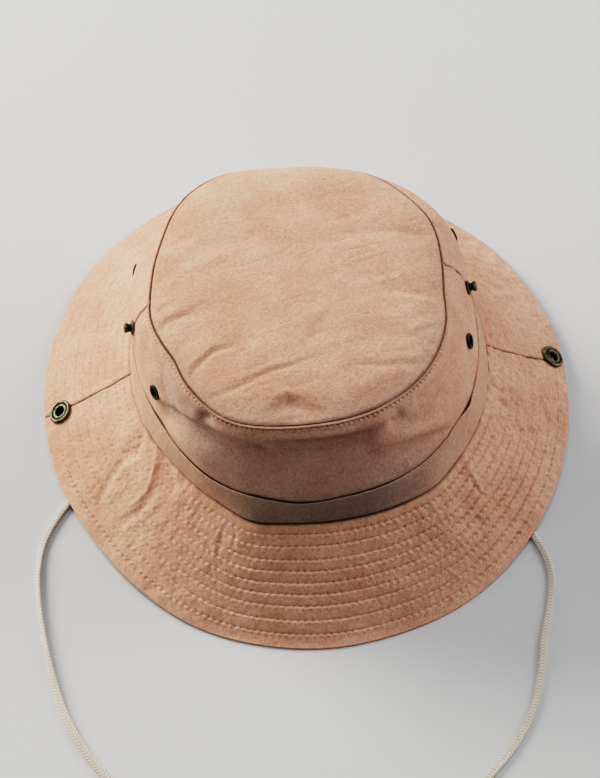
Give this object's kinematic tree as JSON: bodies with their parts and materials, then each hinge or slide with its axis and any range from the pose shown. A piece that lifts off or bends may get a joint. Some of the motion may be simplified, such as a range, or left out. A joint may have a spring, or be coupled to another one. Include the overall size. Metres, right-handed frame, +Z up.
{
  "type": "safari hat",
  "caption": "Soft cotton safari hat with a domed crown, stitched drooping brim, cloth band, snaps, air eyelets and a chin cord laid out in front.",
  "frame": {"origin": "on the surface that the hat rests on, under the middle of its brim", "axes": "+Z up, -Y towards the front of the hat, +X to the right seen from the front"},
  "size_m": [0.2734, 0.4098, 0.102],
  "materials": {
    "cotton": "fine woven cotton in warm tan, matt, with stitched rows on the brim",
    "band_cotton": "folded cotton band in warm tan, matt and smooth",
    "cord": "flat braided cord in cream, matt",
    "dark_brass": "darkened brass, satin, a little worn on its edges"
  },
  "bodies": {
    "root": {"crown_top": "cotton", "crown_back_panel": "cotton", "crown_front_panel": "cotton", "band": "band_cotton", "brim_back": "cotton", "brim_front": "cotton", "brim_snap_left": "dark_brass", "brim_snap_cap_left": "dark_brass", "brim_snap_right": "dark_brass", "brim_snap_cap_right": "dark_brass", "crown_stud_left": "dark_brass", "crown_stud_back_left": "dark_brass", "crown_stud_right": "dark_brass", "crown_stud_back_right": "dark_brass", "eyelet_front_left": "dark_brass", "eyelet_front_right": "dark_brass", "eyelet_back_left": "dark_brass", "eyelet_back_right": "dark_brass", "cord_tab_left": "cotton", "cord_tab_right": "cotton", "chin_cord": "cord"}
  },
  "joints": []
}
